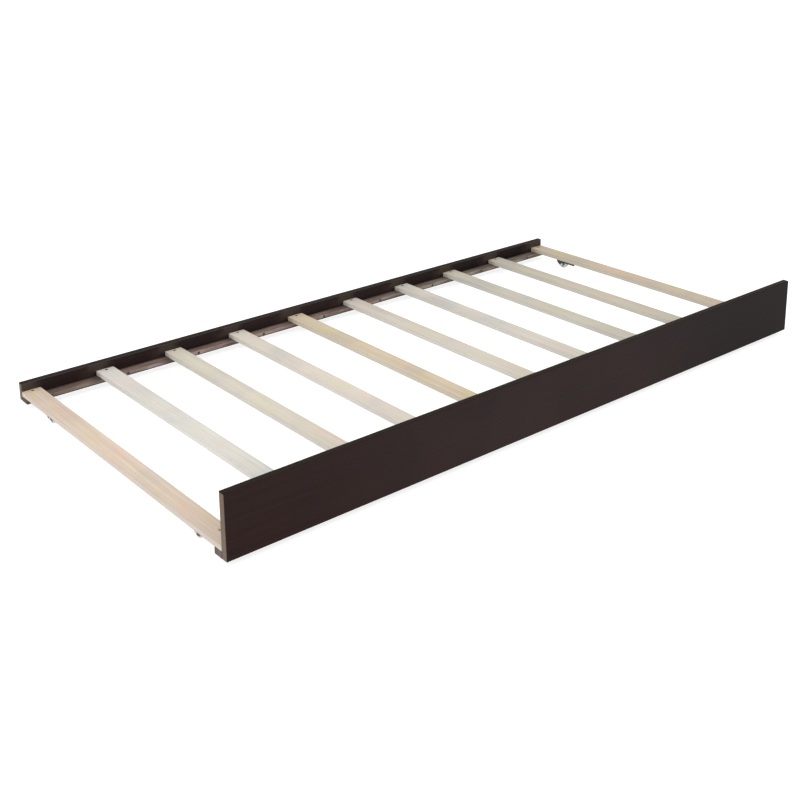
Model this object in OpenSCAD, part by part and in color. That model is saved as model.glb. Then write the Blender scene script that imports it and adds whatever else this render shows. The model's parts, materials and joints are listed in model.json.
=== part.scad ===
// Trundle bed: a low slatted frame that rolls out from under another bed.
// The origin is on the floor below the middle of the bed. X runs along the bed, Y from the
// front panel (negative) to the rear rail (positive), and Z is up.

/* [Bed] */
// Length of the front panel, the rear rail and the two cleats
bed_length = 1900; // [1850:10:2000]
// Width from the outer face of the front panel to the outer face of the rear rail
bed_width = 1000; // [900:10:1100]
// Clear height under the front panel
panel_lift = 14; // [8:1:18]
// Height of the casters, from the floor to the undersides of the slats
caster_height = 30; // [29:1:36]

/* [Boards] */
// Height of the front panel
panel_height = 150; // [100:5:250]
// Thickness of the front panel
panel_thickness = 18; // [15:1:25]
// Clear height under the rear rail
rail_lift = 17; // [14:1:18]
// Height of the rear rail
rail_height = 48; // [40:1:80]
// Thickness of the rear rail
rail_thickness = 16; // [15:1:25]
// How far each cleat stands in from the board it is screwed to
cleat_depth = 28; // [24:1:40]

/* [Slats] */
// Width of a slat
slat_width = 50; // [40:1:90]
// Thickness of a slat
slat_thickness = 13; // [10:1:20]
// Distance of a slat's screw from the slat's end
slat_screw_inset = 9; // [8:1:14]

/* [Cleat screws] */
// Distance of the first cleat screw from the cleat's left end
cleat_screw_start = 67; // [60:1:75]
// Distance from one cleat screw to the next
cleat_screw_pitch = 217; // [180:1:217]

/* [Casters] */
// Distance of the front wheels' middles from the middle of the bed
front_caster_y = 360; // [250:1:370]
// Distance of the rear wheels' middles from the middle of the bed
rear_caster_y = 349; // [250:1:370]
// Diameter of a wheel
wheel_diameter = 26; // [22:1:26]
// Width of a wheel's rim
wheel_width = 16; // [10:1:17]
// Diameter of a wheel's axle
axle_diameter = 4; // [3:0.5:5]
// Distance from an axle to the far end of its bracket, which points to the middle of the bed
bracket_reach = 57; // [54:1:70]
// Width of a bracket over its two side walls
bracket_width = 24; // [23:1:30]
// Thickness of a bracket's sheet steel
sheet = 1.8; // [1.2:0.1:2]
// Depth of the side walls where the bracket is screwed on
flange_depth = 11; // [8:1:13]
// How far the legs of the side walls reach below the middle of the axle
leg_foot = 4.5; // [4.5:0.5:6]
// Distance from an axle to the straight inner side of its legs
leg_inner = 7; // [6:0.5:8]
// How far outside the axle the arc of each leg has its middle
leg_lean = 3; // [0:0.5:5]

/* [Hidden] */
$fn = 64;
slat_count = 10;
cleat_screw_count = 9;

// Heights of the slats' two faces
slat_bottom = caster_height;
slat_top = slat_bottom + slat_thickness;

// Inner faces of the front panel and the rear rail, and inner faces of their cleats
panel_inner = -bed_width / 2 + panel_thickness;
rail_inner = bed_width / 2 - rail_thickness;
front_cleat_inner = panel_inner + cleat_depth;
rear_cleat_inner = rail_inner - cleat_depth;

// The outermost slats are flush with the ends of the cleats
slat_pitch = (bed_length - slat_width) / (slat_count - 1);
function slat_x(i) = (slat_width - bed_length) / 2 + i * slat_pitch;
function cleat_screw_x(i) = -bed_length / 2 + cleat_screw_start + i * cleat_screw_pitch;

// Room round a fixed screw or pin, and round an axle that its wheel turns on
fixed_gap = 0.05;
running_gap = 0.06;
// Room between a wheel's hub and each side wall
hub_gap = 0.4;
// How far a cutting shape runs past the face it cuts
past = 1;

// Countersunk wood screws: [length, shank diameter, head diameter]
slat_screw = [23, 4, 8];
cleat_screw = [39, 4, 8];
// Depth of a countersunk head's top face below the wood's face
head_sink = 0.3;
// Height of the cleat screws above the lower face of the cleat
cleat_screw_height = 6.5;
// Pan-head caster screws: [length under the head, shank diameter, head diameter, head height]
caster_screw = [13, 3.5, 7.5, 2.2];
// Distance of the last caster screw from the far end of its bracket, and to the one before
caster_screw_inset = 10;
caster_screw_spacing = 21;
// Length of every screw's point, and the cross slot's width and depth
point_length = 4;
slot_width = 0.9;
slot_depth = 1.3;

axle_height = wheel_diameter / 2;
bracket_top = caster_height - sheet;
// The outer side of a leg is an arc round a point on the slat's underside
leg_radius = caster_height - axle_height + leg_foot;
bracket_start = -leg_lean - leg_radius;
bracket_corner = 4;

slat_names = [for (i = [1 : slat_count]) str("slat_", i < 10 ? "0" : "", i)];
// Corners of the bed: [name, side along X, distance along Y]
corners = [
    ["front_left", -1, -front_caster_y],
    ["front_right", 1, -front_caster_y],
    ["rear_left", -1, rear_caster_y],
    ["rear_right", 1, rear_caster_y]
];
function caster_piece(corner, piece) = str("caster_", corner[0], "_", piece);

// ---- Screws and their holes ----

// A cross slot cut into a head whose top face is at z = 0
module cross_slot(head_diameter) {
    slot_length = 0.6 * head_diameter;
    for (turn = [0, 90])
        rotate(turn)
            translate([-slot_length / 2, -slot_width / 2, -slot_depth])
                cube([slot_length, slot_width, slot_depth + past]);
}

// Outline of a countersunk screw that points down from z = 0, grown sideways by gap
module countersunk_outline(screw, gap) {
    shank = screw[1] / 2 + gap;
    head = screw[2] / 2 + gap;
    polygon([
        [0, 0],
        [head, 0],
        [shank, shank - head],
        [shank, point_length - screw[0]],
        [0, -screw[0]]
    ]);
}

module countersunk_screw(screw) {
    difference() {
        rotate_extrude() countersunk_outline(screw, 0);
        cross_slot(screw[2]);
    }
}

// The hole that a countersunk screw sits in, running from the wood's face at z = 0
module countersunk_hole(screw) {
    translate([0, 0, -head_sink]) {
        rotate_extrude() countersunk_outline(screw, fixed_gap);
        cylinder(d = screw[2] + 2 * fixed_gap, h = head_sink + past);
        translate([0, 0, -screw[0]])
            cylinder(d = screw[1] + 2 * fixed_gap, h = screw[0]);
    }
}

// A pan-head screw that points up from its seat at z = 0, with its head below
module pan_screw(screw) {
    head = screw[2] / 2;
    shank = screw[1] / 2;
    edge = 0.8;
    difference() {
        rotate_extrude()
            polygon([
                [0, -screw[3]],
                [head - edge, -screw[3]],
                [head, edge - screw[3]],
                [head, 0],
                [shank, 0],
                [shank, screw[0] - point_length],
                [0, screw[0]]
            ]);
        translate([0, 0, -screw[3]]) mirror([0, 0, 1]) cross_slot(screw[2]);
    }
}

// ---- Places ----

// One child at each slat, at height z and at distance y
module at_slats(y, z) {
    for (i = [0 : slat_count - 1])
        translate([slat_x(i), y, z]) children();
}

// One child at each cleat screw, on the face at y, with its own +Z turned to face side
module at_cleat_screws(y, side) {
    for (i = [0 : cleat_screw_count - 1])
        translate([cleat_screw_x(i), y, cleat_bottom(side) + cleat_screw_height])
            rotate([-90 * side, 0, 0]) children();
}

// Height of the lower face of the cleat whose inner face looks towards side
function cleat_bottom(side) = side > 0 ? panel_lift : rail_lift;

// One child at each of a caster's two screws, measured from the wheel's middle
module at_caster_screws(z) {
    for (back = [0, caster_screw_spacing])
        translate([0, bracket_reach - caster_screw_inset - back, z]) children();
}

// The wheel's middle of one corner, on the floor, turned so that +Y is towards the bed's middle
module at_corner(corner) {
    translate([corner[1] * slat_x(slat_count - 1), corner[2], 0])
        rotate(corner[2] < 0 ? 0 : 180) children();
}

front_screw_y = panel_inner + slat_screw_inset;
rear_screw_y = rail_inner - slat_screw_inset;

// ---- Boards ----

// A board that runs the whole length of the bed
module board(y, z, thickness, height) {
    translate([-bed_length / 2, y, z]) cube([bed_length, thickness, height]);
}

module front_panel() {
    color("#322826")
        difference() {
            board(-bed_width / 2, panel_lift, panel_thickness, panel_height);
            at_cleat_screws(front_cleat_inner, 1) countersunk_hole(cleat_screw);
        }
}

module rear_rail() {
    color("#322826")
        difference() {
            board(rail_inner, rail_lift, rail_thickness, rail_height);
            at_cleat_screws(rear_cleat_inner, -1) countersunk_hole(cleat_screw);
        }
}

// The cleats fill the height from their board's lower edge to the slats
module front_cleat() {
    color("#857570")
        difference() {
            board(panel_inner, panel_lift, cleat_depth, slat_bottom - panel_lift);
            at_cleat_screws(front_cleat_inner, 1) countersunk_hole(cleat_screw);
            at_slats(front_screw_y, slat_top) countersunk_hole(slat_screw);
        }
}

module rear_cleat() {
    color("#857570")
        difference() {
            board(rear_cleat_inner, rail_lift, cleat_depth, slat_bottom - rail_lift);
            at_cleat_screws(rear_cleat_inner, -1) countersunk_hole(cleat_screw);
            at_slats(rear_screw_y, slat_top) countersunk_hole(slat_screw);
        }
}

module slat(i) {
    color("#dcd0be")
        difference() {
            translate([slat_x(i) - slat_width / 2, panel_inner, slat_bottom])
                cube([slat_width, rail_inner - panel_inner, slat_thickness]);
            for (y = [front_screw_y, rear_screw_y])
                translate([slat_x(i), y, slat_top]) countersunk_hole(slat_screw);
            if (i == 0 || i == slat_count - 1)
                for (c = corners)
                    at_corner(c) at_caster_screws(slat_bottom) caster_screw_hole();
        }
}

// The blind hole that a caster screw's shank fills, from the slat's underside up
module caster_screw_hole() {
    translate([0, 0, -past])
        cylinder(d = caster_screw[1] + 2 * fixed_gap, h = caster_screw[0] - sheet + past);
}

module front_slat_screws() {
    color("#3a3734")
        at_slats(front_screw_y, slat_top - head_sink) countersunk_screw(slat_screw);
}

module rear_slat_screws() {
    color("#3a3734")
        at_slats(rear_screw_y, slat_top - head_sink) countersunk_screw(slat_screw);
}

module front_cleat_screws() {
    color("#3a3734")
        at_cleat_screws(front_cleat_inner - head_sink, 1) countersunk_screw(cleat_screw);
}

module rear_cleat_screws() {
    color("#3a3734")
        at_cleat_screws(rear_cleat_inner + head_sink, -1) countersunk_screw(cleat_screw);
}

// ---- Casters, each round the point where its wheel meets the floor ----

// Side wall of a bracket: a shallow flange with a rounded end, and a leg down to the axle
module wall_outline() {
    difference() {
        union() {
            intersection() {
                translate([-leg_lean, caster_height]) circle(r = leg_radius);
                translate([bracket_start, caster_height - leg_radius])
                    square([leg_inner - bracket_start, leg_radius]);
            }
            flange_outline();
        }
        translate([0, axle_height]) circle(d = axle_diameter + 2 * fixed_gap);
    }
}

module flange_outline() {
    bottom = caster_height - flange_depth;
    translate([0, bottom]) square([bracket_reach - bracket_corner, flange_depth]);
    translate([0, bottom + bracket_corner])
        square([bracket_reach, flange_depth - bracket_corner]);
    translate([bracket_reach - bracket_corner, bottom + bracket_corner])
        circle(r = bracket_corner);
}

module bracket() {
    color("#4a4a4c")
        difference() {
            union() {
                translate([-bracket_width / 2, bracket_start, bracket_top])
                    cube([bracket_width, bracket_reach - bracket_start, sheet]);
                for (x = [-bracket_width / 2, bracket_width / 2 - sheet])
                    translate([x, 0, 0])
                        rotate([90, 0, 90]) linear_extrude(sheet) wall_outline();
            }
            at_caster_screws(bracket_top - past)
                cylinder(d = caster_screw[1] + 2 * fixed_gap, h = sheet + 2 * past);
        }
}

// A riveted pin: a plain shaft through both walls with a head outside each
module axle() {
    shaft = axle_diameter / 2;
    head = 1.8 * shaft;
    head_height = 1.6;
    edge = 0.7;
    reach = bracket_width / 2;
    color("#b4b4b6")
        translate([0, 0, axle_height])
            rotate([0, 90, 0])
                rotate_extrude()
                    polygon([
                        [0, -reach - head_height],
                        [head - edge, -reach - head_height],
                        [head, -reach - head_height + edge],
                        [head, -reach],
                        [shaft, -reach],
                        [shaft, reach],
                        [head, reach],
                        [head, reach + head_height - edge],
                        [head - edge, reach + head_height],
                        [0, reach + head_height]
                    ]);
}

// Half of a wheel's section, [radius, distance from its middle], from the bore outwards
function wheel_half() = let (
    bore = axle_diameter / 2 + running_gap,
    hub = [4.8, bracket_width / 2 - sheet - hub_gap],
    web = [9.3, wheel_width / 2 - 3],
    tyre = [wheel_diameter / 2, wheel_width / 2],
    edge = 1.5
) [
    [bore, hub[1]],
    [hub[0], hub[1]],
    [hub[0], web[1]],
    [web[0], web[1]],
    [web[0] + 0.7, tyre[1]],
    for (a = [90 : -15 : 0])
        [tyre[0] - edge + edge * cos(a), tyre[1] - edge + edge * sin(a)]
];

module wheel() {
    half = wheel_half();
    last = len(half) - 1;
    color("#b9b9bc")
        translate([0, 0, axle_height])
            rotate([0, 90, 0])
                rotate_extrude()
                    polygon(concat(half, [for (i = [last : -1 : 0]) [half[i][0], -half[i][1]]]));
}

module caster_screws() {
    color("#3a3734")
        at_caster_screws(bracket_top) pan_screw(caster_screw);
}

// ---- Nodes ----

front_panel();
rear_rail();
front_cleat();
rear_cleat();
for (i = [0 : slat_count - 1]) {
    slat(i);
}
front_slat_screws();
rear_slat_screws();
front_cleat_screws();
rear_cleat_screws();
for (c = corners) {
    at_corner(c) bracket();
    at_corner(c) axle();
    at_corner(c) wheel();
    at_corner(c) caster_screws();
}
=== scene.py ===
"""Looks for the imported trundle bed: materials, softened edges, pressed brackets, studio and camera.

Everything is in metres in the frame's own axes: X runs along the bed, Y from the front panel
(negative) to the rear rail (positive), and Z is up from the floor. Tones are display colours, 0 to
255, and become linear colours only where a shader takes them.
"""

import json
import math
import random

import bmesh
import bpy
from mathutils import Matrix, Vector


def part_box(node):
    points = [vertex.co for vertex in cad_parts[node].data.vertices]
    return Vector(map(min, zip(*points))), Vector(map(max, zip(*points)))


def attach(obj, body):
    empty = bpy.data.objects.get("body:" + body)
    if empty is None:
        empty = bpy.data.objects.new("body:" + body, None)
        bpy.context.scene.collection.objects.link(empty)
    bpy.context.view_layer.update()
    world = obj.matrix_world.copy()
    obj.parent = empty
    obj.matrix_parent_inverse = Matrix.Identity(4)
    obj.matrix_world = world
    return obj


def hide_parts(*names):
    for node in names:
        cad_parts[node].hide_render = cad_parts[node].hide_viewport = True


MM = 0.001
X, Y, Z = 0, 1, 2

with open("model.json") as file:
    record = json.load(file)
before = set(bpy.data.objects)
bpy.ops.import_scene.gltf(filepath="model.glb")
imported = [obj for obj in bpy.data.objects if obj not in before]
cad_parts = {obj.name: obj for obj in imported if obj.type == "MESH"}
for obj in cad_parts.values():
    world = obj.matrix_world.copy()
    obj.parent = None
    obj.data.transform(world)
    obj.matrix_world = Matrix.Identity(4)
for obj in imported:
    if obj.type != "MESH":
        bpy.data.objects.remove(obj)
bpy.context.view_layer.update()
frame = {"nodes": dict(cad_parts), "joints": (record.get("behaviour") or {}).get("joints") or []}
nodes = frame["nodes"]

FRAME_BODY = "frame"
CORNERS = ("front_left", "front_right", "rear_left", "rear_right")
SLATS = sorted(name for name in nodes if name.startswith("slat_"))
SLAT_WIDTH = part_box(SLATS[0])[1][X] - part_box(SLATS[0])[0][X]
SLAT_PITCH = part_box(SLATS[1])[0][X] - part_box(SLATS[0])[0][X]
SLAT_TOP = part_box(SLATS[0])[1][Z]


# ---- Node trees and colours ----


def srgb(red, green, blue):
    """A display colour, 0 to 255, as the linear colour that shaders take."""

    def linear(value):
        value /= 255
        return value / 12.92 if value <= 0.04045 else ((value + 0.055) / 1.055) ** 2.4

    return (linear(red), linear(green), linear(blue), 1.0)


class Tree:
    """A material's node tree, with short calls that add one node each and return its output."""

    def __init__(self, name):
        self.material = bpy.data.materials.new(name)
        self.material.use_nodes = True
        self.nodes = self.material.node_tree.nodes
        self.links = self.material.node_tree.links
        self.shader = self.nodes["Principled BSDF"]
        self.place = self.add("ShaderNodeTexCoord").outputs["Object"]

    def add(self, kind, inputs=None, **settings):
        node = self.nodes.new(kind)
        for name, value in settings.items():
            setattr(node, name, value)
        for key, value in (inputs or {}).items():
            self.put(node.inputs[key], value)
        return node

    def put(self, socket, value):
        """Links an output to a socket, or sets the socket's own constant."""
        if isinstance(value, bpy.types.NodeSocket):
            self.links.new(value, socket)
        else:
            socket.default_value = value

    def set(self, **values):
        """Sets the shader's sockets: underscores stand for spaces in their names."""
        for name, value in values.items():
            self.put(self.shader.inputs[name.replace("_", " ")], value)

    def math(self, operation, a, b=0.0, c=0.0):
        return self.add("ShaderNodeMath", {0: a, 1: b, 2: c}, operation=operation).outputs[0]

    def plus(self, *values):
        """The sum of several values."""
        result = values[0]
        for value in values[1:]:
            result = self.math("ADD", result, value)
        return result

    def times(self, *values):
        """The product of several values."""
        result = values[0]
        for value in values[1:]:
            result = self.math("MULTIPLY", result, value)
        return result

    def minus(self, a, b):
        return self.math("SUBTRACT", a, b)

    def gap(self, a, b):
        """How far two values are apart."""
        return self.math("ABSOLUTE", self.minus(a, b))

    def axes(self, vector):
        return self.add("ShaderNodeSeparateXYZ", {0: vector}).outputs

    def scaled(self, scale, shift=(0, 0, 0)):
        """The place on the object, shifted, then scaled along each axis."""
        moved = self.add("ShaderNodeVectorMath", {0: self.place, 1: shift}, operation="ADD")
        inputs = {0: moved.outputs[0], 1: scale}
        return self.add("ShaderNodeVectorMath", inputs, operation="MULTIPLY").outputs[0]

    def noise(self, scale, shift=(0, 0, 0), detail=3.0, roughness=0.5):
        """Noise with scale cells a metre along each axis."""
        inputs = {
            "Vector": self.scaled(scale, shift),
            "Scale": 1.0,
            "Detail": detail,
            "Roughness": roughness,
        }
        return self.add("ShaderNodeTexNoise", inputs).outputs[0]

    def ramp(self, value, low, high, start=0.0, end=1.0):
        """Turns value from low..high smoothly into start..end."""
        inputs = {"Value": value, "From Min": low, "From Max": high, "To Min": start, "To Max": end}
        return self.add("ShaderNodeMapRange", inputs, interpolation_type="SMOOTHSTEP").outputs[0]

    def between(self, value, rise, fall):
        """0 to 1 as value passes through rise, and back to 0 as it passes through fall."""
        return self.minus(self.ramp(value, *rise), self.ramp(value, *fall))

    def mix(self, factor, a, b, blend="MIX"):
        node = self.add("ShaderNodeMix", data_type="RGBA", blend_type=blend)
        self.put(node.inputs["Factor"], factor)
        self.put(node.inputs[6], a)
        self.put(node.inputs[7], b)
        return node.outputs[2]

    def bump(self, height, distance, strength):
        inputs = {"Height": height, "Distance": distance, "Strength": strength}
        self.put(self.shader.inputs["Normal"], self.add("ShaderNodeBump", inputs).outputs[0])


class Paint:
    """A surface colour that is built up in layers over one tone."""

    def __init__(self, tree, tone):
        self.tree = tree
        self.colour = srgb(*tone)

    def layer(self, cover, tone):
        """Lays a tone, or another paint, over what is there, as far as cover goes from 0 to 1."""
        over = tone.colour if isinstance(tone, Paint) else srgb(*tone)
        self.colour = self.tree.mix(cover, self.colour, over)

    def shade(self, value):
        """Darkens the colour to value of itself."""
        grey = self.tree.add("ShaderNodeCombineXYZ", {0: value, 1: value, 2: value}).outputs[0]
        self.colour = self.tree.mix(1.0, self.colour, grey, "MULTIPLY")


def finish_with(node_name, material):
    """Gives a CAD node one material in place of the plain one it was packed with."""
    mesh = nodes[node_name].data
    mesh.materials.clear()
    mesh.materials.append(material)


# ---- Wood grain ----


def edge_distance(tree, place, low, high):
    """Distance from a board's surface to its nearest edge: the second smallest to a face."""
    faces = []
    for axis in (X, Y, Z):
        middle, half = (low[axis] + high[axis]) / 2, (high[axis] - low[axis]) / 2
        faces.append(tree.minus(half, tree.gap(place[axis], middle)))
    nearer = tree.math("MINIMUM", faces[0], faces[1])
    farther = tree.math("MAXIMUM", faces[0], faces[1])
    return tree.math("MAXIMUM", nearer, tree.math("MINIMUM", farther, faces[2]))


def knot_distance(tree, along, across, knots):
    """Distance to the nearest knot, in knot radii. A knot is (along, across, radius) and runs
    through the board as a cylinder drawn out along the grain."""
    stretch = 1.7
    nearest = 9.0
    for at_along, at_across, radius in knots:
        u = tree.times(tree.minus(along, at_along), 1 / (stretch * radius))
        v = tree.times(tree.minus(across, at_across), 1 / radius)
        distance = tree.math("SQRT", tree.plus(tree.times(u, u), tree.times(v, v)))
        nearest = tree.math("MINIMUM", nearest, distance)
    return nearest


class Grain:
    """The parts of a board's figure, each as an output.

    rings       annual rings, 0 in early wood to 1 in late wood
    fibres      fine lines along the board
    streaks     broader lines along the board
    pores       short dark pores, 0 or 1
    clouds      patches of tone as long as they are wide
    tint        drawn-out patches of tone
    knot        distance to the nearest knot, in knot radii
    edge        distance to the nearest edge
    end         1 on the two end faces
    """

    def __init__(self, tree, node_name, along, seed, ring=3.4 * MM, bend=5 * MM, knots=()):
        draw = random.Random(seed)
        self.shift = tuple(draw.uniform(-9, 9) for _ in range(3))
        pith_aside = draw.uniform(-14, 14) * MM
        pith_depth = draw.uniform(26, 44) * MM
        self.tree, self.along = tree, along
        self.low, self.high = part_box(node_name)
        self.middle = (self.low + self.high) / 2
        self.place = tree.axes(tree.place)
        size = self.high - self.low
        across, through = sorted((a for a in (X, Y, Z) if a != along), key=lambda a: -size[a])
        self.knot = knot_distance(tree, self.place[along], self.place[across], knots)
        side = tree.minus(self.place[across], self.middle[across] + pith_aside)
        depth = tree.minus(self.place[through], self.middle[through] - pith_depth)
        self.rings = self.ring_pattern(side, depth, ring, bend)
        self.fibres = self.noise(14.0, 900.0, detail=4.0, roughness=0.62)
        self.streaks = self.noise(2.2, 75.0, detail=4.0)
        self.pores = tree.ramp(self.noise(70.0, 1700.0, detail=1.0), 0.66, 0.76)
        self.clouds = self.noise(7.0, 5.0, detail=2.0)
        self.tint = self.noise(6.5, 15.0, shift=self.shift[::-1])
        self.edge = edge_distance(tree, self.place, self.low, self.high)
        from_middle = tree.gap(self.place[along], self.middle[along])
        half = size[along] / 2
        self.end = tree.ramp(from_middle, half - 0.9 * MM, half - 0.2 * MM)

    def noise(self, run, rise, shift=None, **settings):
        """Noise with run cells a metre along the grain and rise cells a metre across it."""
        scale = tuple(run if axis == self.along else rise for axis in (X, Y, Z))
        return self.tree.noise(scale, shift or self.shift, **settings)

    def ring_pattern(self, side, depth, ring, bend):
        """Rings a ring apart round a pith line that runs along the board below it, bent by a slow
        noise, so that broad faces show long arches and end faces show arcs. They part round each
        knot. Every ring darkens slowly and ends sharply."""
        tree = self.tree
        slow = self.noise(2.6, 9.0, detail=2.0)
        side = tree.plus(side, tree.math("MULTIPLY_ADD", slow, 4 * bend, -2 * bend))
        radius = tree.math("SQRT", tree.plus(tree.times(side, side), tree.times(depth, depth)))
        radius = tree.plus(radius, tree.ramp(self.knot, 0.0, 3.2, 1.6 * ring, 0.0))
        jitter = tree.times(self.noise(6.0, 140.0), 0.7)
        phase = tree.math("FRACT", tree.plus(jitter, tree.times(radius, 1 / ring)))
        return tree.between(phase, (0.25, 0.88), (0.9, 1.0))

    def bay(self, offset=0.0):
        """Place between two slats: 0 at a slat's left side and 1 at the next one's, or more by
        offset, a share of the distance between them, and back to 0 after 1."""
        from_left = self.tree.times(self.tree.minus(self.place[X], self.low[X]), 1 / SLAT_PITCH)
        return self.tree.math("FRACT", self.tree.plus(from_left, offset))


# ---- Woods ----


def pale_wood(node_name, seed, tone, patchy, knots):
    """Bare planed softwood: a tone that drifts to pink and to straw, faint rings and fine fibres,
    greyer sawn sides, darker edges, painted shade towards both ends, and painted shade in patches
    along the bottom edge."""
    tree = Tree("pale_wood_" + node_name)
    grain = Grain(tree, node_name, Y, seed, knots=knots)
    red, green, blue = tone
    mean = sum(tone) / 3
    pink = (red * 1.04, green * 0.95, blue * 0.95)
    straw = (red * 0.99, green, blue * 0.88)
    grey = (red * 0.955, green * 0.975, blue * 1.01)
    sawn = tuple(1.015 * (0.6 * channel + 0.4 * mean) for channel in tone)
    latewood, knot_halo, knot_core = (186, 154, 120), (168, 136, 104), (92, 72, 58)

    paint = Paint(tree, tone)
    paint.layer(tree.ramp(grain.tint, 0.52, 0.66, 0.0, patchy), pink)
    paint.layer(tree.ramp(grain.tint, 0.47, 0.34, 0.0, patchy), straw)
    paint.layer(tree.ramp(grain.clouds, 0.52, 0.68, 0.0, 0.8), grey)
    half = SLAT_WIDTH / 2
    from_middle = tree.gap(grain.place[X], grain.middle[X])
    paint.layer(tree.ramp(from_middle, half - 1.1 * MM, half - 0.3 * MM, 0.0, 0.9), sawn)

    # Painted shade: the slats darker towards both ends, near the panel and the rail, and a little
    # lighter in the middle
    painted_shade_at_ends = tree.ramp(tree.math("ABSOLUTE", grain.place[Y]), 0.08, 0.46, 1.02, 0.93)
    shade = tree.plus(
        tree.times(grain.rings, -0.035),
        tree.ramp(grain.fibres, 0.3, 0.7, 0.045, -0.045),
        tree.ramp(grain.streaks, 0.3, 0.7, 0.035, -0.04),
        tree.ramp(grain.clouds, 0.3, 0.7, 0.02, -0.03),
        tree.times(grain.pores, -0.05),
        tree.times(grain.end, -0.09),
        painted_shade_at_ends,
    )
    # Darker within about 2 mm of every edge
    darker_at_edges = tree.ramp(grain.edge, 0.3 * MM, 2.2 * MM, 0.9, 1.0)
    # Painted shade along the bottom edge, broken into patches
    foot = tree.ramp(grain.place[Z], grain.low[Z] + 0.5 * MM, grain.low[Z] + 2.8 * MM, 1.0, 0.0)
    patches = tree.ramp(tree.noise((9.0, 75.0, 9.0)), 0.4, 0.6, 0.1, 0.34)
    painted_foot_shade = tree.minus(1.0, tree.times(foot, patches))
    paint.shade(tree.times(shade, darker_at_edges, painted_foot_shade))
    paint.layer(tree.times(grain.rings, 0.11), latewood)
    paint.layer(tree.ramp(grain.knot, 0.9, 2.4, 0.45, 0.0), knot_halo)
    paint.layer(tree.ramp(grain.knot, 0.6, 1.05, 0.85, 0.0), knot_core)

    tree.set(Base_Color=paint.colour, Specular_IOR_Level=0.3)
    tree.set(Roughness=tree.ramp(grain.fibres, 0.3, 0.7, 0.56, 0.74))
    height = tree.plus(
        tree.times(grain.fibres, 0.5), tree.times(grain.rings, 0.35), tree.times(grain.pores, -0.5)
    )
    tree.bump(height, 0.16 * MM, 0.55)
    return tree.material


def lighten_inner_face(paint, grain, from_inner, inner_lightening):
    """Lightens a board's inner face, as far as the last argument goes from 0 to 1: lighter towards
    its ends, painted reflections of the slats low down beside each slat and above each slat, and a
    painted highlight along its top edge."""
    tree = paint.tree
    on_inner = tree.ramp(from_inner, 0.8 * MM, 2.0 * MM, inner_lightening, 0.0)
    to_end = tree.math("ABSOLUTE", grain.place[X])
    # Lighter towards both ends of the board
    paint.layer(tree.ramp(to_end, 0.885, 0.94, 0.0, on_inner), (78, 66, 59))

    # Painted reflection: a warm glow low down beside each slat, standing for the slat's side mirrored
    # in the lacquer
    beside_slat = tree.between(grain.bay(), (0.7, 0.88), (0.92, 1.0))
    low_down = tree.ramp(grain.place[Z], grain.low[Z] + 30 * MM, grain.high[Z], 0.6, 0.0)
    paint.layer(tree.times(beside_slat, low_down, on_inner), (66, 54, 46))

    # Painted reflection of each slat's end in the lacquer, above the slat
    wobble = tree.math("MULTIPLY_ADD", tree.noise((30.0, 60.0, 60.0)), 0.24, 0.38)
    above_slat = tree.between(grain.bay(wobble), (0.34, 0.48), (0.58, 0.76))
    high_up = tree.ramp(grain.place[Z], SLAT_TOP - 9 * MM, SLAT_TOP + 3 * MM, 0.0, 1.4)
    paint.layer(tree.times(above_slat, high_up, on_inner), (68, 58, 51))

    # Painted highlight along the rounding of the top edge
    top = grain.high[Z]
    along_top = tree.ramp(grain.place[Z], top - 3.8 * MM, top - 1.5 * MM, 0.0, 1.5)
    paint.layer(tree.times(along_top, on_inner), (74, 68, 66))


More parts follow.
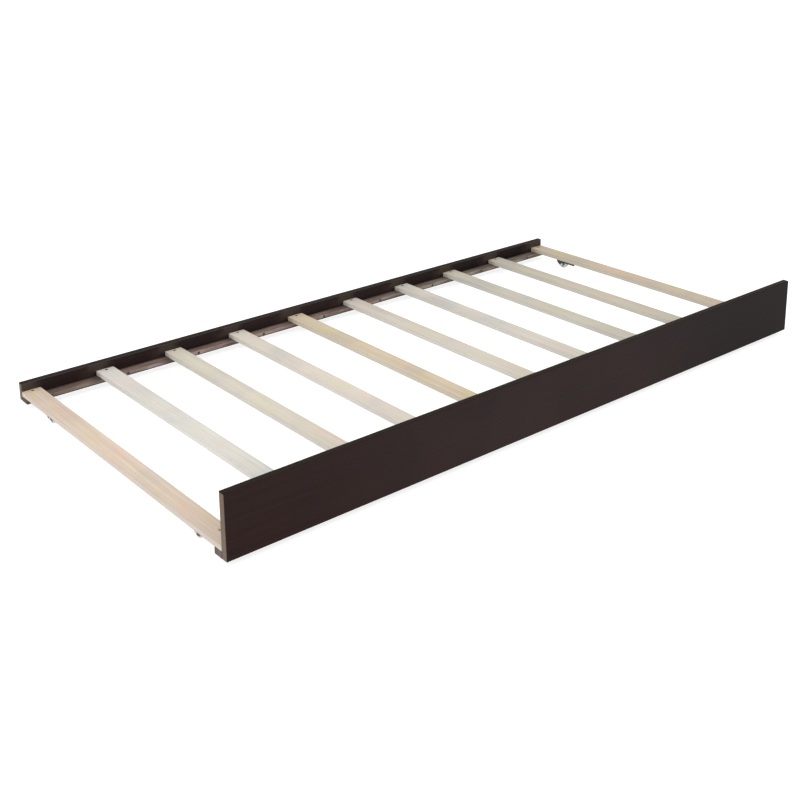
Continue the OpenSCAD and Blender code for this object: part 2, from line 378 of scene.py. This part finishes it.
def espresso_wood(node_name, seed, tones, top_tone, end_tones, inner_lightening):
    """Espresso stain under satin lacquer: dark, with the grain showing faintly, rubbed lighter
    along the edges, and a thinner brown stain on the end grain."""
    tree = Tree("espresso_wood_" + node_name)
    grain = Grain(tree, node_name, X, seed, ring=4.6 * MM, bend=9 * MM)
    top = grain.high[Z]
    left, centre, right = tones
    drift, dark_cloud, streak = (38, 32, 34), (36, 29, 31), (52, 39, 36)
    latewood, pore, rubbed_edge, end_ring = (28, 20, 18), (18, 12, 11), (84, 66, 56), (90, 77, 68)

    paint = Paint(tree, left)
    paint.layer(tree.ramp(grain.place[X], -0.95, -0.2), centre)
    paint.layer(tree.ramp(grain.place[X], 0.1, 0.8), right)
    paint.layer(tree.ramp(grain.place[Z], grain.low[Z], top, 0.0, 0.3), drift)
    paint.layer(tree.ramp(grain.clouds, 0.42, 0.62, 0.0, 0.3), dark_cloud)
    paint.layer(tree.ramp(grain.streaks, 0.35, 0.7, 0.0, 0.3), streak)
    paint.layer(tree.times(grain.rings, 0.16), latewood)
    paint.layer(tree.times(grain.pores, 0.45), pore)
    inner = min(grain.low[Y], grain.high[Y], key=abs)
    from_inner = tree.gap(grain.place[Y], inner)
    # Painted reflections of the slats and a painted highlight on the inner face, with lighter ends
    lighten_inner_face(paint, grain, from_inner, inner_lightening)
    paint.layer(tree.ramp(grain.place[Z], top - 1.4 * MM, top - 0.4 * MM), top_tone)
    near_edge = tree.ramp(grain.edge, 0.2 * MM, 1.2 * MM, 0.25, 0.0)
    paint.layer(tree.times(near_edge, grain.clouds), rubbed_edge)

    lower, higher = end_tones
    end_paint = Paint(tree, lower)
    end_paint.layer(tree.ramp(grain.place[Z], 0.06, 0.12), higher)
    end_paint.layer(tree.times(grain.rings, 0.6), end_ring)
    off_edge = tree.ramp(grain.edge, 0.3 * MM, 1.1 * MM)
    below_top = tree.ramp(grain.place[Z], top - 3.6 * MM, top - 1.8 * MM, 1.0, 0.0)
    off_inner = tree.ramp(from_inner, 0.7 * MM, 2.4 * MM)
    paint.layer(tree.times(grain.end, off_edge, below_top, off_inner), end_paint)

    tree.set(Base_Color=paint.colour, Specular_IOR_Level=0.03)
    tree.set(Roughness=tree.ramp(grain.streaks, 0.3, 0.7, 0.4, 0.52))
    height = tree.plus(
        tree.times(grain.fibres, 0.25), tree.times(grain.rings, 0.3), tree.times(grain.pores, -0.6)
    )
    tree.bump(height, 0.12 * MM, 0.5)
    return tree.material


def stained_cleat(node_name, seed, end_tone):
    """Sawn softwood under a thin grey-brown stain, with rubbed streaks and saw marks across the
    grain.
    Its top face is darker, partly stain and partly painted shade; painted shade lies beside each
    slat and in the corner against the board, and it is darker along its bottom edge."""
    tree = Tree("stained_cleat_" + node_name)
    grain = Grain(tree, node_name, X, seed, ring=3.0 * MM, bend=6 * MM)
    along, height = grain.place[X], grain.place[Z]
    streaks = tree.noise((13.0, 95.0, 95.0), detail=4.0)
    rubbed = tree.noise((38.0, 260.0, 260.0))
    brown, light_cloud, left_end = (98, 84, 74), (158, 138, 130), (84, 74, 62)
    latewood, bare_streak, pore = (88, 72, 66), (176, 156, 148), (64, 52, 46)
    stain_and_shade_on_top, painted_bay_shade, corner_shadow_and_dark_foot = (58, 46, 40), (60, 46, 38), (44, 34, 30)

    in_streak = tree.ramp(streaks, 0.36, 0.62)
    paint, drab = Paint(tree, (116, 97, 90)), Paint(tree, (98, 88, 78))
    paint.layer(in_streak, (148, 127, 119))
    drab.layer(in_streak, (134, 123, 112))
    paint.layer(tree.ramp(along, -0.2, 0.6), drab)
    paint.layer(tree.ramp(grain.tint, 0.5, 0.66, 0.0, 0.8), brown)
    paint.layer(tree.ramp(grain.clouds, 0.55, 0.7, 0.0, 0.3), light_cloud)
    paint.layer(tree.ramp(along, -0.62, -0.9, 0.0, 0.65), left_end)
    paint.layer(tree.times(grain.rings, 0.2), latewood)
    paint.layer(tree.ramp(rubbed, 0.58, 0.7, 0.0, 0.4), bare_streak)
    paint.layer(tree.times(grain.pores, 0.5), pore)

    sawn_end = Paint(tree, end_tone)
    sawn_end.shade(tree.ramp(tree.noise((9.0, 520.0, 520.0), detail=2.0), 0.35, 0.65, 0.86, 1.1))
    paint.layer(tree.times(grain.end, 0.8), sawn_end)

    top, foot = grain.high[Z], grain.low[Z]
    # The top face darker: partly stain, partly painted shade
    paint.layer(tree.ramp(height, top - 1.2 * MM, top - 0.3 * MM, 0.0, 0.42), stain_and_shade_on_top)
    # Painted shade on the cleat beside each slat, fading from left to right
    bay = grain.bay()
    beside_slat = tree.math(
        "MAXIMUM", tree.ramp(bay, 0.8, 0.97), tree.ramp(bay, 0.02, 0.12, 1.0, 0.0)
    )
    fading = tree.ramp(along, -0.1, 0.5, 0.8, 0.3)
    paint.layer(
        tree.times(beside_slat, fading, tree.ramp(streaks, 0.35, 0.6, 1.0, 0.6)), painted_bay_shade
    )
    # Painted shadow in the corner against the board, and darker along the bottom edge
    board_side = max(grain.low[Y], grain.high[Y], key=abs)
    from_board = tree.gap(grain.place[Y], board_side)
    in_corner = tree.ramp(from_board, 2.6 * MM, 11.0 * MM, 0.92, 0.0)
    at_foot = tree.ramp(height, foot + 0.9 * MM, foot + 4.6 * MM, 0.95, 0.0)
    off_end = tree.math("MULTIPLY_ADD", grain.end, -0.9, 1.0)
    paint.layer(tree.times(tree.math("MAXIMUM", in_corner, at_foot), off_end), corner_shadow_and_dark_foot)

    tree.set(Base_Color=paint.colour, Specular_IOR_Level=0.25)
    tree.set(Roughness=tree.ramp(grain.fibres, 0.3, 0.7, 0.6, 0.8))
    saw_marks = tree.noise((420.0, 12.0, 12.0), detail=2.0)
    roughened = tree.plus(
        tree.times(grain.fibres, 0.6), tree.times(saw_marks, 0.5), tree.times(grain.rings, 0.3)
    )
    tree.bump(roughened, 0.25 * MM, 0.7)
    return tree.material


# ---- Metal and plastic ----


def bracket_steel():
    """Dark zinc on pressed sheet: satin, clouded and speckled, with fine drawing lines."""
    tree = Tree("bracket_steel")
    clouds = tree.noise((90.0, 60.0, 90.0), detail=4.0)
    lines = tree.noise((1500.0, 60.0, 1500.0), detail=2.0)
    specks = tree.noise((700.0, 700.0, 700.0), detail=2.0)
    paint = Paint(tree, (50, 50, 51))
    paint.layer(tree.ramp(clouds, 0.35, 0.65), (72, 72, 73))
    paint.layer(tree.ramp(specks, 0.62, 0.75, 0.0, 0.5), (34, 33, 32))
    tree.set(Base_Color=paint.colour, Metallic=0.7)
    tree.set(Roughness=tree.ramp(clouds, 0.3, 0.7, 0.34, 0.5))
    tree.bump(tree.plus(lines, tree.times(specks, 0.5)), 0.05 * MM, 0.5)
    return tree.material


def rivet_steel():
    """Bright zinc on a headed pin, with turning marks."""
    tree = Tree("rivet_steel")
    marks = tree.noise((300.0, 2200.0, 2200.0), detail=2.0)
    paint = Paint(tree, (196, 196, 198))
    paint.layer(tree.ramp(marks, 0.35, 0.65), (222, 222, 224))
    tree.set(Base_Color=paint.colour, Metallic=1.0)
    tree.set(Roughness=tree.ramp(marks, 0.3, 0.7, 0.2, 0.36))
    tree.bump(marks, 0.03 * MM, 0.4)
    return tree.material


def screw_steel():
    """Dark phosphate on small screws, rubbed brighter in patches by the driver."""
    tree = Tree("screw_steel")
    patches = tree.noise((900.0, 900.0, 900.0))
    paint = Paint(tree, (58, 54, 50))
    paint.layer(tree.ramp(patches, 0.5, 0.7), (104, 100, 96))
    tree.set(Base_Color=paint.colour, Metallic=0.7)
    tree.set(Roughness=tree.ramp(patches, 0.3, 0.7, 0.52, 0.36))
    tree.bump(patches, 0.04 * MM, 0.5)
    return tree.material


def wheel_plastic():
    """Moulded light grey nylon: faint flow clouds, a fine skin, and dust in its scuffs."""
    tree = Tree("wheel_plastic")
    clouds = tree.noise((120.0, 120.0, 120.0))
    skin = tree.noise((2600.0, 2600.0, 2600.0), detail=2.0)
    scuffs = tree.noise((160.0, 900.0, 900.0), detail=4.0)
    paint = Paint(tree, (188, 188, 190))
    paint.layer(tree.ramp(clouds, 0.35, 0.65), (206, 206, 207))
    paint.layer(tree.ramp(scuffs, 0.56, 0.72, 0.0, 0.5), (150, 148, 146))
    tree.set(Base_Color=paint.colour, Subsurface_Weight=0.06, Subsurface_Scale=1.2 * MM)
    tree.set(Roughness=tree.ramp(scuffs, 0.35, 0.7, 0.38, 0.6))
    tree.bump(tree.plus(skin, tree.times(scuffs, 0.8)), 0.05 * MM, 0.45)
    return tree.material


# ---- Softened edges on the CAD boards ----


def soften_board(node_name, width):
    """Rounds a board's twelve edges and leaves the rims of its screw holes alone."""
    board = nodes[node_name]
    low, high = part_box(node_name)
    near = 0.01 * MM
    corners = [
        vertex.index
        for vertex in board.data.vertices
        if all(min(vertex.co[a] - low[a], high[a] - vertex.co[a]) < near for a in (X, Y, Z))
    ]
    group = board.vertex_groups.new(name="corners")
    group.add(corners, 1.0, "REPLACE")
    weld = board.modifiers.new("weld", "WELD")
    weld.merge_threshold = near
    flat = board.modifiers.new("flat", "DECIMATE")
    flat.decimate_type = "DISSOLVE"
    flat.angle_limit = math.radians(1)
    bevel = board.modifiers.new("soft_edges", "BEVEL")
    bevel.limit_method = "VGROUP"
    bevel.vertex_group = group.name
    bevel.width = width
    bevel.segments = 4
    # Without this the bevel's corners stand past the board's own box
    bevel.loop_slide = False
    shading = board.modifiers.new("shading", "WEIGHTED_NORMAL")
    shading.weight = 90


# ---- Pieces made here ----


def new_piece(name, mesh, slot, body, smooth=False):
    """Puts a bmesh in the scene as a piece with a slot's material, riding on a body."""
    data = bpy.data.meshes.new(name)
    mesh.to_mesh(data)
    mesh.free()
    if smooth:
        data.shade_smooth()
    data.materials.append(MATERIALS[slot])
    piece = bpy.data.objects.new(name, data)
    bpy.context.scene.collection.objects.link(piece)
    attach(piece, body)
    return piece


def arc(centre, radius, first, last, steps):
    """Points on an arc in a plane, from one angle to another, ends included."""
    angles = [first + (last - first) * step / steps for step in range(steps + 1)]
    return [
        (centre[0] + radius * math.cos(angle), centre[1] + radius * math.sin(angle))
        for angle in angles
    ]


# The bracket's sheet, and its side walls: the depth of the flange, the leg's reach below the axle,
# and the leg's inner side and the middle of its arc, both measured from the axle
SHEET = 1.8 * MM
BEND_RADIUS = 2.6 * MM
FLANGE_DEPTH = 11 * MM
LEG_FOOT = 4.5 * MM
LEG_INNER = 7 * MM
LEG_LEAN = 3 * MM
LEG_FILLET = 1.6 * MM
CORNER_RADIUS = 4 * MM


def wall_edge(reach, plate_height, axle_height, lowest_bend):
    """Lower edge of a side wall as (distance from the axle towards the bed's middle, height): the
    leg's arc, its straight inner side with a small fillet, and the flange with its round corner."""
    half_turn, quarter_turn = math.pi, math.pi / 2
    flange = plate_height - FLANGE_DEPTH
    leg_radius = plate_height - axle_height + LEG_FOOT
    leg_first = half_turn + math.asin((plate_height - lowest_bend) / leg_radius)
    leg_last = 2 * math.pi - math.acos((LEG_INNER + LEG_LEAN) / leg_radius)
    leg = arc((-LEG_LEAN, plate_height), leg_radius, leg_first, leg_last, 36)
    fillet_centre = (LEG_INNER + LEG_FILLET, flange - LEG_FILLET)
    fillet = arc(fillet_centre, LEG_FILLET, half_turn, quarter_turn, 6)
    corner_centre = (reach - CORNER_RADIUS, flange + CORNER_RADIUS)
    corner = arc(corner_centre, CORNER_RADIUS, -quarter_turn, 0, 6)
    return leg + fillet + corner


def plate_section(half_width, top, bend):
    """The top plate and its two bends as (across, height), from one side wall to the other."""
    bend_steps, plate_steps = 6, 6
    flat_half = half_width - bend
    one_bend = arc((flat_half, top - bend), bend, 0, math.pi / 2, bend_steps)
    shares = [step / plate_steps for step in range(1, plate_steps)]
    plate = [(flat_half - 2 * flat_half * share, top) for share in shares]
    return one_bend + plate + [(-across, height) for across, height in reversed(one_bend)]


def pressed_bracket(corner, axle):
    """A channel bent from one sheet, with round bends, in place of the CAD bracket's square ones.
    Its plate is a strip of columns, and each side wall one face below it; a solidify modifier gives
    it the sheet's thickness."""
    cad_name = f"caster_{corner}_bracket"
    low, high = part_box(cad_name)
    inward = 1 if axle[Y] < 0 else -1
    reach = max(abs(low[Y] - axle[Y]), abs(high[Y] - axle[Y]))
    half_width = (high[X] - low[X]) / 2 - SHEET / 2
    top = high[Z] - SHEET / 2
    bend = BEND_RADIUS - SHEET / 2
    edge = wall_edge(reach, high[Z], axle[Z], top - bend)
    section = plate_section(half_width, top, bend)
    start = edge[0][0]
    station_count = 16
    stations = [start + (reach - start) * step / station_count for step in range(station_count + 1)]
    mesh = bmesh.new()

    def vertex(across, along, height):
        return mesh.verts.new((axle[X] + across, axle[Y] + inward * along, height))

    columns = [[vertex(x, along, z) for x, z in section] for along in stations]
    for first, second in zip(columns, columns[1:]):
        for row in range(len(section) - 1):
            mesh.faces.new((first[row], first[row + 1], second[row + 1], second[row]))
    for row, side in ((0, 1), (-1, -1)):
        rim = [column[row] for column in columns]
        lower = [vertex(side * half_width, along, z) for along, z in edge[1:-1]]
        mesh.faces.new(lower + rim[::-1])
    bmesh.ops.recalc_face_normals(mesh, faces=mesh.faces)

    bracket = new_piece(cad_name + "_pressed", mesh, "bracket_steel", FRAME_BODY, smooth=True)
    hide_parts(cad_name)
    thick = bracket.modifiers.new("sheet", "SOLIDIFY")
    thick.thickness = SHEET
    thick.offset = 0
    rim = bracket.modifiers.new("rim", "BEVEL")
    rim.width = 0.35 * MM
    rim.segments = 2
    rim.limit_method = "ANGLE"
    rim.angle_limit = math.radians(50)
    shading = bracket.modifiers.new("shading", "WEIGHTED_NORMAL")
    shading.weight = 80


def wheel_ribs(corner, axle):
    """Moulded ribs that brace a wheel's web between its hub and its rim, on both sides. Their
    number is odd, so that a quarter turn shows."""
    rib_count = 7
    hub, rim = 4.4 * MM, 9.7 * MM
    web, proud = 4.6 * MM, 7.1 * MM
    thickness = 1.1 * MM
    size = Matrix.Diagonal((proud - web, rim - hub, thickness, 1))
    mesh = bmesh.new()
    for index in range(rib_count):
        turn = Matrix.Rotation(2 * math.pi * index / rib_count, 4, "X")
        for side in (-1, 1):
            place = Matrix.Translation((side * (web + proud) / 2, (hub + rim) / 2, 0))
            bmesh.ops.create_cube(mesh, size=1, matrix=turn @ place @ size)
    bmesh.ops.translate(mesh, verts=mesh.verts, vec=axle)
    ribs = new_piece(f"caster_{corner}_wheel_ribs", mesh, "wheel_plastic", f"{corner}_wheel")
    edges = ribs.modifiers.new("soft_edges", "BEVEL")
    edges.width = 0.3 * MM
    edges.segments = 3


# ---- The bed ----

# Each slat, left to right: its tone, how strongly it drifts to pink and to straw, and its knots as
# (distance along Y, distance from the slat's middle, radius)
SLAT_LOOKS = (
    ((199, 182, 165), 0.4, [(-0.428, 0.0045, 0.0028)]),
    ((201, 198, 190), 0.3, []),
    ((196, 189, 175), 0.4, []),
    ((200, 192, 180), 0.4, []),
    ((192, 178, 154), 0.6, []),
    ((194, 187, 175), 0.4, []),
    ((193, 188, 176), 0.35, []),
    ((183, 178, 164), 0.4, []),
    ((181, 174, 158), 0.4, []),
    ((182, 169, 148), 0.6, []),
)

# Each dark board: its tones at the left, middle and right, its top edge's, its ends' below 0.06 m
# and above 0.12 m, and how strongly its inner face is lightened by painted reflections and a painted
# highlight
BOARD_LOOKS = {
    "front_panel": (
        ((42, 27, 24), (50, 39, 38), (32, 28, 28)),
        (32, 24, 18),
        ((112, 99, 89), (112, 94, 81)),
        0.0,
    ),
    "rear_rail": (
        ((38, 25, 24), (43, 32, 32), (29, 24, 24)),
        (28, 23, 22),
        ((107, 100, 94), (107, 100, 94)),
        0.6,
    ),
}

# Each cleat's tone on its two ends: the front cleat's are lighter than the rear's as painted light,
# standing for the front cleat being lit more
CLEAT_ENDS = {"front_cleat": (128, 122, 116), "rear_cleat": (84, 79, 75)}

MATERIALS = {
    "bracket_steel": bracket_steel(),
    "rivet_steel": rivet_steel(),
    "screw_steel": screw_steel(),
    "wheel_plastic": wheel_plastic(),
}

for index, (name, (tone, patchy, knots)) in enumerate(zip(SLATS, SLAT_LOOKS)):
    low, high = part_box(name)
    centre = (low[X] + high[X]) / 2
    placed = [(along, centre + aside, radius) for along, aside, radius in knots]
    finish_with(name, pale_wood(name, 100 + index, tone, patchy, placed))
    soften_board(name, 1.2 * MM)

for index, (name, looks) in enumerate(BOARD_LOOKS.items()):
    finish_with(name, espresso_wood(name, 200 + index, *looks))
    soften_board(name, 1.6 * MM)

for index, (name, end_tone) in enumerate(CLEAT_ENDS.items()):
    finish_with(name, stained_cleat(name, 300 + index, end_tone))
    soften_board(name, 0.8 * MM)

for name in nodes:
    if name.endswith("_screws"):
        finish_with(name, MATERIALS["screw_steel"])

axle_of = {joint["child"]: joint["pos_m"] for joint in frame["joints"]}
for corner in CORNERS:
    axle = axle_of[f"{corner}_wheel"]
    finish_with(f"caster_{corner}_axle", MATERIALS["rivet_steel"])
    finish_with(f"caster_{corner}_wheel", MATERIALS["wheel_plastic"])
    pressed_bracket(corner, axle)
    wheel_ribs(corner, axle)


# ---- Studio ----


def pale_floor():
    """A wide pale floor that glows faintly, like the lit sweep that product photos are made on."""
    reach = 30
    data = bpy.data.meshes.new("floor")
    corners = [(-reach, -reach, 0), (reach, -reach, 0), (reach, reach, 0), (-reach, reach, 0)]
    data.from_pydata(corners, [], [(0, 1, 2, 3)])
    tree = Tree("floor")
    tree.set(Base_Color=(0.42, 0.42, 0.418, 1), Roughness=0.9, Specular_IOR_Level=0.1)
    tree.set(Emission_Color=(1, 1, 1, 1), Emission_Strength=0.78)
    data.materials.append(tree.material)
    floor = bpy.data.objects.new("floor", data)
    bpy.context.scene.collection.objects.link(floor)


def softbox(name, place, size, watts):
    """A square area light at place, turned to the origin, which the camera doesn't see."""
    light = bpy.data.lights.new(name, "AREA")
    light.size = size
    light.energy = watts
    lamp = bpy.data.objects.new(name, light)
    lamp.location = place
    lamp.rotation_euler = (-Vector(place)).to_track_quat("-Z", "Y").to_euler()
    lamp.visible_camera = False
    bpy.context.scene.collection.objects.link(lamp)


pale_floor()
softbox("key", (-3.6, -1.6, 3.4), 3.0, 60)
softbox("top", (0.4, 0.6, 4.6), 4.0, 40)

world = bpy.data.worlds.new("studio")
world.use_nodes = True
background = world.node_tree.nodes["Background"]
background.inputs["Color"].default_value = (1, 1, 1, 1)
background.inputs["Strength"].default_value = 1.0
bpy.context.scene.world = world
bpy.context.scene.view_settings.view_transform = "Standard"


# ---- Camera ----

# The photo's viewing direction, and how far the camera stands from the bottom of the panel's
# middle: back along that direction, to the right and up
AZIMUTH, ELEVATION, ROLL = (math.radians(angle) for angle in (-39.483, 15.177, -0.627))
DISTANCE, ASIDE, ABOVE = 3.3238, -0.0737, 0.447
LENS = 54.45
SHIFT_Y = -0.25

back = Vector(
    (
        math.sin(AZIMUTH) * math.cos(ELEVATION),
        -math.cos(AZIMUTH) * math.cos(ELEVATION),
        math.sin(ELEVATION),
    )
)
level = Vector((0, 0, 1)).cross(back).normalized()
right = level * math.cos(ROLL) + back.cross(level) * math.sin(ROLL)
up = back.cross(right)
aim = Vector((0, 0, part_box("front_panel")[0][Z]))

camera_data = bpy.data.cameras.new("camera")
camera_data.lens = LENS
camera_data.sensor_width = 36
camera_data.shift_y = SHIFT_Y
camera_data.clip_start = 0.05
camera_data.clip_end = 200
camera = bpy.data.objects.new("camera", camera_data)
camera.location = aim + back * DISTANCE + right * ASIDE + up * ABOVE
camera.rotation_mode = "QUATERNION"
camera.rotation_quaternion = Matrix((right, up, back)).transposed().to_quaternion()
bpy.context.scene.collection.objects.link(camera)
bpy.context.scene.camera = camera
